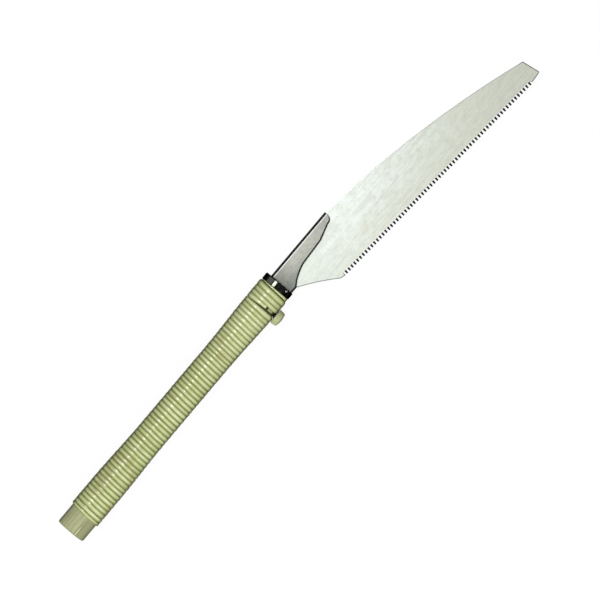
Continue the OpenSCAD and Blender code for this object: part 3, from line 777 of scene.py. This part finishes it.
class SAW_OT_binding(bpy.types.Operator):
    """Wind the cane strips of the grip and the head"""

    bl_idname = "saw.binding"
    bl_label = "Cane binding"

    def execute(self, context):
        """The grip's edge advances by the pitch, less over the tight turns and in the late turns after them,
        and strays in a sum of three waves that dies out at the screw. The head's edge advances by a pitch
        that grows, dips round the screw at its start and leaves a step before its last turn. The head's cut
        end is a short strip of its own, tucked beside the screw."""
        handle, cane = context.scene.saw_handle, context.scene.saw_cane
        skin = cane_skin(cane)
        tight_turn, tight_turns, late_turn, calm_turn, calm_turns = 42, 4.5, 46, 57.6, 3
        head_back, dip, last_step = 0.0016, 0.0018, 0.0008

        def grip_edge(t):
            stray = wave(t, 2.7, 0.4) + 0.8 * wave(t, 4.3, 2.1) + 0.5 * wave(t, 13.0, 5.0)
            stray = cane.wander * stray / 1.6 * np.clip((calm_turn - t) / calm_turns, 0, 1)
            saved = ease(0, cane.tight, (t - tight_turn) / tight_turns)
            saved = saved + cane.late * np.maximum(t - late_turn, 0)
            return cane.grip_start + cane.pitch * t - saved + stray

        def head_edge(t):
            advance = cane.head_pitch * t + cane.head_growth / 2 * t * t
            return (SCREW_X - head_back + advance - dip * hump(t, 0.2, 0.17)
                    + ease(0, last_step, (t - 3.7) / 0.2))

        # The grip starts with a slanted cut, and its last turn widens up to the screw.
        t = np.linspace(-0.35, 57.86, 4192)
        cut, slant, widening = 0.0189, 0.0028, 0.0014
        low = cut + slant * np.interp(t, [0.06, 0.3, 0.56, 0.95], [0, 0.25, 1, 0])
        grip = cane_strip(
            handle, cane, t, grip_edge, spare=-ease(0, widening, (t - 56.5) / 0.4),
            start_angle=math.radians(200), low=low, high=SCREW_X - 0.0026, tuck=1.0, phase=0.0)
        # The head's first turn starts narrow and later makes way for the screw. Its last turn lies low.
        first_turn = -0.050
        t = np.linspace(first_turn, 4.28, 900)
        narrow_start, way, last_gap, last_tuck = 0.0015, 0.0050, 0.0009, 0.65
        low = SCREW_X - 0.0023 + narrow_start * hump(t, first_turn, 0.12) + way * hump(t, 0.75, 0.1, 4)
        body = cane_strip(
            handle, cane, t, head_edge, spare=ease(0, last_gap, (t - 2.7) / 0.2),
            start_angle=math.radians(90), low=low, high=BIND_END - 0.0002,
            tuck=1 - ease(0, last_tuck, (t - 3.35) / 0.3), phase=1.7)
        t = np.linspace(-0.145, -0.082, 24)
        end = cane_strip(
            handle, cane, t, head_edge, spare=-0.0004, start_angle=math.radians(90),
            low=SCREW_X - 0.0010, high=SCREW_X + 0.0022, tuck=0.55, phase=0.9)
        # The tucked stub takes the narrow sides' painted shade, as shade in its recess.
        shadowed = 0.92
        end_side = np.full(end[3].size, shadowed)
        head = (np.concatenate([body[0], end[0]]),
                [np.concatenate([long, short + len(body[0])]) for long, short in zip(body[1], end[1])],
                np.concatenate([body[2], end[2]]), np.concatenate([body[3].ravel(), end_side]))
        for name, (points, faces, strip, side) in {"grip": grip, "head": head}.items():
            piece = make_piece(name + "_cane", "handle", points, faces, [skin], strip=strip,
                               spots={"side": side})
            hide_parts(name + "_binding")
        return {"FINISHED"}


class SAW_OT_ferrule(bpy.types.Operator):
    """Make the ferrule's plated cap and finish its brad"""

    bl_idname = "saw.ferrule"
    bl_label = "Ferrule"

    def execute(self, context):
        """Closed loops round the X axis, carried from the bore's rear edge over the lip, the side, the
        rounded edge, the front face and the slot's rim, back along the inside. An oval loop is half times
        (cos, oval sin), and a slot loop is a rounded rectangle whose cosine and sine are raised to a small
        power."""
        handle, holder = context.scene.saw_handle, context.scene.saw_holder
        half, wall, rounding = FERRULE_HIGH.y, holder.ferrule_wall, holder.ferrule_round
        lip_r, crown, break_r, squareness = 0.0003, 0.00002, 0.0002, 0.22
        lip, turn, side = quarter(5), quarter(9), np.linspace(0, 1, 6)
        side_start, side_end = BIND_END + 2 * lip_r, MOUTH_X - rounding - break_r
        face = (half - rounding) * np.linspace(0.98, 0.83, 4)
        oval_x = np.concatenate([
            [BIND_END], BIND_END + lip_r * (1 - np.cos(lip)), side_start + (side_end - side_start) * side,
            MOUTH_X - rounding + rounding * np.sin(turn), np.full(len(face), MOUTH_X)])
        oval_half = np.concatenate([
            [half - wall], half - lip_r * (1 - np.sin(lip)), half + crown * np.sin(np.pi * side),
            half - rounding * (1 - np.cos(turn)), face])
        phi = ring_angles(160)
        circle = np.stack([np.cos(phi), np.sin(phi)], -1)
        oval = circle * [1, handle.oval]
        square = np.sign(circle) * np.abs(circle) ** squareness
        slot_low = -context.scene.saw_blade.tail_drop - holder.slot_room
        slot_high = HOLDER_HIGH.y + holder.slot_room
        slot_half = HOLDER_HIGH.z + holder.slot_room
        depth = np.array([0, 0.3 * break_r, break_r, wall])
        grow = np.array([break_r, 0.3 * break_r, 0, 0])
        sizes = np.stack([(slot_high - slot_low) / 2 + grow, slot_half + grow], -1)
        rim = np.array([(slot_high + slot_low) / 2, 0]) + sizes[:, None] * square
        inner_half = half - wall - np.array([break_r, 0])
        points = np.concatenate([
            loops(oval_x, oval_half[:, None, None] * oval), loops(MOUTH_X - depth, rim),
            loops(MOUTH_X - wall - np.array([0, break_r]), inner_half[:, None, None] * oval)])
        faces = [grid_faces(*points.shape[:2], wrap_rows=True, wrap_columns=True)]
        piece = make_piece("ferrule_cap", "handle", points, faces, [dark_plating(holder)])
        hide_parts("ferrule")
        dress(turned_metal("brad_steel", holder.brad_steel, 0.8), "ferrule_brad")
        return {"FINISHED"}


class SAW_OT_holder(bpy.types.Operator):
    """Fold the blade holder from its sheet and finish its pins"""

    bl_idname = "saw.holder"
    bl_label = "Blade holder"

    def execute(self, context):
        """A folded section carried along X. At each station the lower edge follows the tang, the shoulder,
        the scooped neck, the straight cheek and the rounded nose. The section runs up one cheek, round the
        back fold as half a circle, down the other cheek, round its cut edge, and back along the inside."""
        holder = context.scene.saw_holder
        half, top, r = HOLDER_HIGH.z, HOLDER_HIGH.y, holder.cut_round
        inside, fold_y = half - holder.sheet, top - half
        tang, drop = holder.tang_rise, holder.shoulder_drop
        scoop = np.array([MOUTH_X + holder.shoulder, -drop])
        neck = np.array([MOUTH_X + holder.neck, -holder.neck_drop])
        knee = np.array([MOUTH_X + holder.bend, -holder.bend_drop])
        nose = np.array([MOUTH_X + holder.nose, holder.nose_rise])
        tip = np.array([HOLDER_HIGH.x, fold_y])
        clear, hair = 0.00005, 0.00002
        wall = MOUTH_X + clear
        low = np.concatenate([
            [[HOLDER_LOW.x, tang], [wall - r, tang], [wall - hair, tang]],
            [[wall, r - drop], [wall + r / 3, r / 3 - drop], [wall + r, -drop]],
            bend(scoop, (2 * scoop + neck) / 3 * [1, 0] + (scoop + 2 * neck) / 3 * [0, 1], neck, 24),
            neck + (knee - neck) * np.linspace(0.1, 1, 10)[:, None],
            knee + (nose - knee) * np.linspace(0.2, 0.95, 5)[:, None],
            bend(nose, [tip[0], nose[1]], tip, 20)])
        # The section, as shares of the cheek's height, lifts above them, and distances to the side.
        arc, bite, climb = np.linspace(0, np.pi, 17), quarter(4), np.linspace(0, 1, 9)
        up, down = climb[1:], climb[-2:0:-1]
        cut_z = np.concatenate([[inside, inside + r / 3], half - r + r * np.sin(bite)])
        cut_y = np.concatenate([[r / 3, 0], r * (1 - np.cos(bite))])
        band_fade, band_wide, wide_run = 0.0002, 1.35, 0.003
        band = holder.cut_band - np.array([band_fade, 0])
        edge = np.zeros(len(cut_y) + len(band))
        share_up = np.concatenate([edge, up, np.ones(len(arc)), down, edge, [1, 1]])
        lift = np.concatenate([
            cut_y, band, band[1] * (1 - up), half * np.sin(arc), band[1] * (1 - down), band[::-1],
            cut_y[::-1], [inside, inside]])
        side = np.concatenate([
            cut_z, np.full(len(band) + len(up), half), half * np.cos(arc),
            np.full(len(down) + len(band), -half), -cut_z[::-1], [-inside, inside]])
        x, lower = low[:, :1], low[:, 1:]
        wider = np.interp(x, [scoop[0], scoop[0] + wide_run], [band_wide, 1])
        room = np.minimum(wider, (fold_y - lower) / (2 * band[1]))
        y = lower + share_up * (fold_y - lower) + lift * np.where(share_up == 1, 1, room)
        points = np.stack(np.broadcast_arrays(x, y, side), -1)
        # The cut edges get the rim value, which paints their dark band of shade.
        dark = np.ones(len(cut_y) + 1)
        rim = np.concatenate([dark, np.zeros(len(side) - 2 * len(dark) - 2), dark, [0, 0]])
        piece = make_piece("holder_sheet", "handle", points, tube_faces(*y.shape),
                           [folded_steel(holder)], spots={"rim": np.broadcast_to(rim, y.shape)})
        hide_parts("blade_holder")
        dress(turned_metal("pin_steel", holder.bright_steel, 0.75), "hook_pin", "tang_pin")
        return {"FINISHED"}


class SAW_OT_blade(bpy.types.Operator):
    """Cut the blade with its notched tail, its teeth and its arched back"""

    bl_idname = "saw.blade"
    bl_label = "Blade"

    def execute(self, context):
        """The outline without its teeth is carried through the thickness, drawn in by the chamfer at both
        flats. The teeth are a strip between the line of gullets and the line of points, one grid on each
        flat, joined at the cut edge; points lean out by the set to each side in turn, and the flat on the
        other side stops short by the bevel. The back is a curve with weights (1-t)^3, 3t(1-t)^2, 3t^2(1-t)
        and t^3."""
        blade, holder = context.scene.saw_blade, context.scene.saw_holder
        slope, half = blade.edge_slope, blade.thickness / 2
        hair, least_mitre, chamfer_depth = 0.0001, 0.35, 0.6 * half
        first_point = np.array([MOUTH_X + blade.heel_reach, -blade.heel_drop])
        forward = np.array([math.cos(slope), -math.sin(slope)])
        upward = np.array([math.sin(slope), math.cos(slope)])

        def on_edge(s, h):
            """Point at s along the line of points and h over it."""
            return first_point + np.multiply.outer(s, forward) + np.multiply.outer(h, upward)

        # Line of the teeth, each from the two ends of its gullet to the two ends of its point.
        number = np.arange(blade.teeth)
        start = blade.heel_plain + number * blade.tooth_pitch
        row_end = blade.heel_plain + blade.teeth * blade.tooth_pitch
        marks = np.cumsum([0, blade.gullet, blade.face_run, blade.point])
        s = np.append(start[:, None] + marks, row_end)
        is_point = np.append(np.tile([False, False, True, True], blade.teeth), False)
        lean = np.append(np.repeat(np.where(number % 2, 1.0, -1.0), len(marks)), 0.0) * is_point
        root = on_edge(s, np.full(len(s), blade.tooth_height + 2 * hair))

        # Outline, from the tail's back corner round the notch, the heel, the teeth and the tip to the holder.
        tip_low = on_edge(row_end + blade.tip_plain, blade.tip_rise)
        tip_top = tip_low + [-blade.tip_lean, blade.tip_height]
        tip_side = tip_low + blade.tip_round * (tip_top - tip_low) / blade.tip_height
        heel = on_edge(0.0, blade.heel_rise)
        heel_top = np.array([MOUTH_X + holder.shoulder, -holder.shoulder_drop])
        chord = heel - heel_top
        bow = 2 * blade.heel_bow * np.array([-chord[1], chord[0]]) / np.linalg.norm(chord)
        back_start = np.array([HOLDER_HIGH.x, BLADE_HIGH.y])
        lead = back_start + [blade.back_lead, 0]
        pull = tip_top + blade.back_run * np.array([-1, math.tan(blade.back_slope)])
        t = np.linspace(0, 1, 49)[:, None]
        back = ((1 - t) ** 3 * tip_top + 3 * t * (1 - t) ** 2 * pull + 3 * t * t * (1 - t) * lead
                + t ** 3 * back_start)
        hook = np.array([HOOK_LOW.x + HOOK_HIGH.x, HOOK_LOW.y + HOOK_HIGH.y]) / 2
        notch = (HOOK_HIGH.y - HOOK_LOW.y) / 2 + blade.notch_room
        swing = np.linspace(np.pi / 2, -np.pi / 2, 17)
        tail, shoulder_x = BLADE_LOW.x, MOUTH_X + blade.shoulder
        before = np.concatenate([
            [[tail, BLADE_HIGH.y], [tail, hook[1] + notch]],
            hook + notch * np.stack([np.cos(swing), np.sin(swing)], -1),
            [[tail, hook[1] - notch], [tail, -blade.tail_drop]],
            [[shoulder_x, -blade.tail_drop], [shoulder_x, blade.back_clear - holder.shoulder_drop]],
            bend(heel_top, (heel + heel_top) / 2 + bow, heel, 24),
            [on_edge(blade.heel_plain - 2 * hair, 0.0)],
            [on_edge(blade.heel_plain - hair, blade.tooth_height * 0.6)]])
        after = np.concatenate([
            [on_edge(row_end + blade.gullet, blade.last_rise)],
            bend(tip_low - [blade.tip_round, 0], tip_low, tip_side, 8), back])
        outline = np.concatenate([before, root, after])
        all_round, first, many = len(outline), len(before), len(root)

        # Broken edge: each corner is drawn in along its mitre, apart from the teeth's.
        along = np.roll(outline, -1, 0) - outline
        along = along / np.linalg.norm(along, axis=1, keepdims=True)
        inward = np.stack([-along[:, 1], along[:, 0]], -1)
        mitre = inward + np.roll(inward, 1, 0)
        mitre = mitre / np.maximum(np.sum(mitre * inward, 1, keepdims=True), least_mitre)
        loop = np.arange(all_round)
        toothed = (loop >= first) & (loop < first + many)
        drawn = outline + np.where(toothed[:, None], 0, blade.chamfer) * mitre
        shallow = half - chamfer_depth
        layers = [(drawn, -half), (outline, -shallow), (outline, shallow), (drawn, half)]
        edge_h = np.where(is_point, 0, blade.tooth_height)
        short = blade.tooth_bevel * is_point
        flats = [(on_edge(s, edge_h + short * (lean * way < 0)), way * half + blade.tooth_set * lean)
                 for way in (-1, 1)]
        points = np.concatenate([
            np.column_stack([flat, np.broadcast_to(z, len(flat))]) for flat, z in layers + flats])

        # Faces: walls between the layers, three ribbons along the teeth with their two ends, and the flats.
        following = np.roll(loop, -1)
        plain = ~(toothed & np.roll(toothed, -1))
        wall = np.column_stack([loop, following, following + all_round, loop + all_round])[plain]
        walls = np.concatenate([wall + layer * all_round for layer in range(3)])
        low_root = first + np.arange(many)
        high_root = low_root + 3 * all_round
        low_point = 4 * all_round + np.arange(many)
        high_point = low_point + many

        def ribbon(a, b):
            """Quads between two lines of points."""
            return np.column_stack([a[:-1], a[1:], b[1:], b[:-1]])

        teeth = np.concatenate([
            ribbon(low_point, low_root), ribbon(high_point, low_point), ribbon(high_root, high_point)])
        start_side, end_side = [low_root[end] + all_round * np.arange(4) for end in (0, -1)]
        ends = np.array([
            [*start_side, high_point[0], low_point[0]],
            [end_side[0], low_point[-1], high_point[-1], *end_side[:0:-1]]])
        faces = [walls, teeth, ends[:, ::-1], np.stack([loop[::-1], loop + 3 * all_round])]
        on_flat, on_wall, on_tooth = range(3)
        kinds = [np.full(len(group), kind) for group, kind in
                 zip(faces, (on_wall, on_tooth, on_tooth, on_flat))]
        piece = make_piece("saw_blade", "blade", points, faces,
                           [saw_steel(blade), broken_edge(blade), hardened_teeth(blade)],
                           kinds=kinds, sharp=8)
        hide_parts("blade")
        return {"FINISHED"}


class SAW_OT_clamp(bpy.types.Operator):
    """Make the thumb screw's knob and thread, and finish the nut and the shoe"""

    bl_idname = "saw.clamp"
    bl_label = "Thumb screw"

    def execute(self, context):
        """Knob and screw are profiles turned round the screw's axis. The knob's profile runs from the bore
        over the flared hub and the black boss of the inner face, the side and the rounded edge to the domed
        outer face; the bore's wall and the boss are black as painted shadow. The screw's radius falls from
        the crest by the thread's depth times a clipped wave of the turns, which are the advance over the
        pitch plus the angle."""
        clamp = context.scene.saw_clamp
        inner, outer, dome = KNOB_HIGH.y, KNOB_LOW.y, clamp.knob_dome
        knob_r, screw_r = KNOB_HIGH.z, SCREW_HIGH.z
        clear, hair, pole = 0.00003, 0.00002, 0.02
        bore, seat = screw_r + clear, inner - clamp.screw_seat - clear
        small, big = clamp.inner_round, clamp.knob_round
        near, far = quarter(5), quarter(13)
        flat_r, boss_r = knob_r - clamp.knob_draft - big, knob_r - clamp.boss_inset
        inwards = np.array([0.9, 0.75, 0.55, 0.3, pole])
        # The hub from its end to the boss: distances out from its radius, and shares of its height.
        hub_out = np.array([-0.0002, 0, 0.0001, 0.0004, 0.0010, 0.0024])
        hub_up = np.array([1, 0.86, 0.41, 0.33, 0.24, 0])
        radius = np.concatenate([
            [bore * pole, bore, bore], clamp.hub_r + hub_out, [boss_r, boss_r],
            knob_r - small * (1 - np.sin(near)), flat_r + big * np.cos(far), flat_r * inwards])
        y = np.concatenate([
            [seat, seat, inner + clamp.hub], inner + np.maximum(clamp.hub * hub_up, clamp.boss),
            [inner + clamp.boss, inner], inner - small * (1 - np.cos(near)),
            outer + dome + big * (1 - np.sin(far)), outer + dome * inwards ** 2])
        phi = ring_angles(96)
        points = turned(radius[:, None], y, phi)
        # The bore's wall and the boss use the black of the screw as painted shadow.
        bore_wall, boss_face = 1, 2 + len(hub_out)
        is_shadow_black = np.isin(np.arange(len(y) - 1), [bore_wall, boss_face, boss_face + 1])
        black = turned_metal("black_screw", clamp.screw_black, 0.6)
        knob = make_piece("thumb_knob", "thumb_screw", points, tube_faces(*points.shape[:2]),
                          [knob_plastic(clamp), black], kinds=[np.repeat(is_shadow_black, len(phi)), np.zeros(2)])
        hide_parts("clamp_knob")

        end, bottom = SCREW_HIGH.y, SCREW_LOW.y
        top = end - clamp.spigot
        phi = ring_angles(32)
        y = np.linspace(top, bottom, 260)
        turns = (top - y)[:, None] / clamp.thread_pitch + phi / (2 * np.pi)
        steepness, spigot_round = 1.4, 0.0003
        crest = np.clip((np.abs(turns % 1 * 2 - 1) - 0.5) * steepness + 0.5, 0, 1)
        fade = np.clip(np.minimum(top - y, y - bottom) / clamp.thread_pitch, 0, 1)[:, None]
        thread = screw_r - hair - clamp.thread_depth * (1 - fade * crest)
        y[0] -= hair
        y = np.concatenate([[end, end - spigot_round / 3, end - spigot_round, top], y])
        spigot = clamp.spigot_r * np.array([0.75, 0.97, 1.0, 1.0])
        radius = np.vstack([np.repeat(spigot[:, None], len(phi), 1), thread])
        points = turned(radius, y, phi)
        screw = make_piece("thread_screw", "thumb_screw", points, tube_faces(*points.shape[:2]),
                           [black], sharp=40)
        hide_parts("clamp_screw")
        dress(turned_metal("clamp_brass", clamp.brass, 0.7), "clamp_nut", "clamp_shoe")
        return {"FINISHED"}


class SAW_OT_stage(bpy.types.Operator):
    """Set the floor, the lamps, the room and the camera"""

    bl_idname = "saw.stage"
    bl_label = "Stage"

    def execute(self, context):
        """The floor is a disc: radius times (cos, sin) at the height of the saw's lowest point. To the camera
        and in reflections it is white paper that still takes the saw's shadow."""
        scene, stage = context.scene, context.scene.saw_stage
        middle_x, floor_r, floor_gap = 0.3, 4.0, 0.00005
        radius = np.linspace(0.001, floor_r, 12)[:, None]
        phi = ring_angles(64)
        disc = np.stack(np.broadcast_arrays(
            middle_x + radius * np.cos(phi), radius * np.sin(phi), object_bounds()[0][2] - floor_gap), -1)
        quads = grid_faces(*disc.shape[:2], wrap_columns=True).tolist()
        mesh = bpy.data.meshes.new("floor")
        mesh.from_pydata(disc.reshape(-1, 3), [], [*quads, list(range(len(phi)))])
        paper, place = new_finish("floor_paper")
        fibre = place.grain((900, 900, 900), 2.0)
        grey = [stage.floor_paper] * 3
        sheet = place.add("BsdfDiffuse", {
            "Color": coats(grey, (fibre * 0.1, shade(grey, 0.9))), "Roughness": 0.5})
        white = place.add("Emission", {"Color": coats(BLACK, (seen_rays(place), [stage.floor_white] * 3))})
        place.add("OutputMaterial", {"Surface": place.add("AddShader", {0: sheet, 1: white})})
        mesh.materials.append(paper)
        floor = new_object("floor", mesh)
        floor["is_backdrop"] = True

        scene.world = bpy.data.worlds.new("room")
        start = bare_tree(scene.world)
        _, _, up = start.add("TexCoord", output="Generated").parts()
        room = coats([stage.room_low] * 3, (up.step(0.2, 1), [stage.room_high] * 3))
        start.add("OutputWorld", {"Surface": start.add("Background", {"Color": room})})

        # Lamps: name, power, place, what each is aimed at, and its size.
        for name, watts, place, aim, size in (
                ("key", stage.key, (0.13, 0.45, 1.20), (0.13, 0.0, 0.0), (0.10, 0.20)),
                ("strip", stage.strip, (0.289, 0.45, 1.20), (0.289, 0.0, 0.0), (0.06, 0.36)),
                ("fill", stage.fill, (-0.60, -0.85, 0.80), (0.20, -0.02, 0.0), (1.60, 1.60)),
                ("glint", stage.glint, (0.29, 0.995, 0.67), (0.29, 0.0, 0.0), (0.10, 0.90))):
            lamp = bpy.data.lights.new(name, "AREA")
            lamp.shape = "RECTANGLE"
            lamp.size, lamp.size_y = size
            lamp.energy = watts
            stand = new_object(name, lamp)
            stand.location = place
            stand.rotation_euler = (Vector(place) - Vector(aim)).to_track_quat("Z", "Y").to_euler()
            stand.visible_camera = False

        camera = bpy.data.cameras.new("camera")
        camera.sensor_width = 36
        camera.lens = stage.lens
        camera.clip_end = 50
        eye = new_object("camera", camera)
        eye.location = (stage.camera_x, stage.camera_y, stage.camera_height)
        eye.rotation_euler = (0, 0, -stage.turn)
        scene.camera = eye
        scene.view_settings.view_transform = "Standard"
        return {"FINISHED"}


class SAW_PT_panel(bpy.types.Panel):
    """List of the saw's pieces and their settings"""

    bl_idname = "SAW_PT_panel"
    bl_label = "Bamboo saw"
    bl_space_type = "VIEW_3D"
    bl_region_type = "UI"
    bl_category = "Bamboo saw"

    def draw(self, context):
        for operator in OPERATORS:
            self.layout.operator(operator.bl_idname)
        for name, group in SETTINGS.items():
            box = self.layout.box()
            box.label(text=group.__doc__)
            for setting in group.__annotations__:
                box.prop(getattr(context.scene, name), setting)


SETTINGS = {"saw_handle": HandleSettings, "saw_cane": CaneSettings, "saw_holder": HolderSettings,
            "saw_blade": BladeSettings, "saw_clamp": ClampSettings, "saw_stage": StageSettings}
OPERATORS = (SAW_OT_core, SAW_OT_binding, SAW_OT_ferrule, SAW_OT_holder, SAW_OT_blade, SAW_OT_clamp,
             SAW_OT_stage)


def register():
    for name, group in SETTINGS.items():
        bpy.utils.register_class(group)
        setattr(bpy.types.Scene, name, bpy.props.PointerProperty(type=group))
    for kind in (*OPERATORS, SAW_PT_panel):
        bpy.utils.register_class(kind)


def unregister():
    for kind in reversed((*OPERATORS, SAW_PT_panel)):
        bpy.utils.unregister_class(kind)
    for name, group in reversed(SETTINGS.items()):
        delattr(bpy.types.Scene, name)
        bpy.utils.unregister_class(group)


def main():
    register()
    bpy.ops.saw.core()
    bpy.ops.saw.binding()
    bpy.ops.saw.ferrule()
    bpy.ops.saw.holder()
    bpy.ops.saw.blade()
    bpy.ops.saw.clamp()
    bpy.ops.saw.stage()


if __name__ == "__main__":
    main()
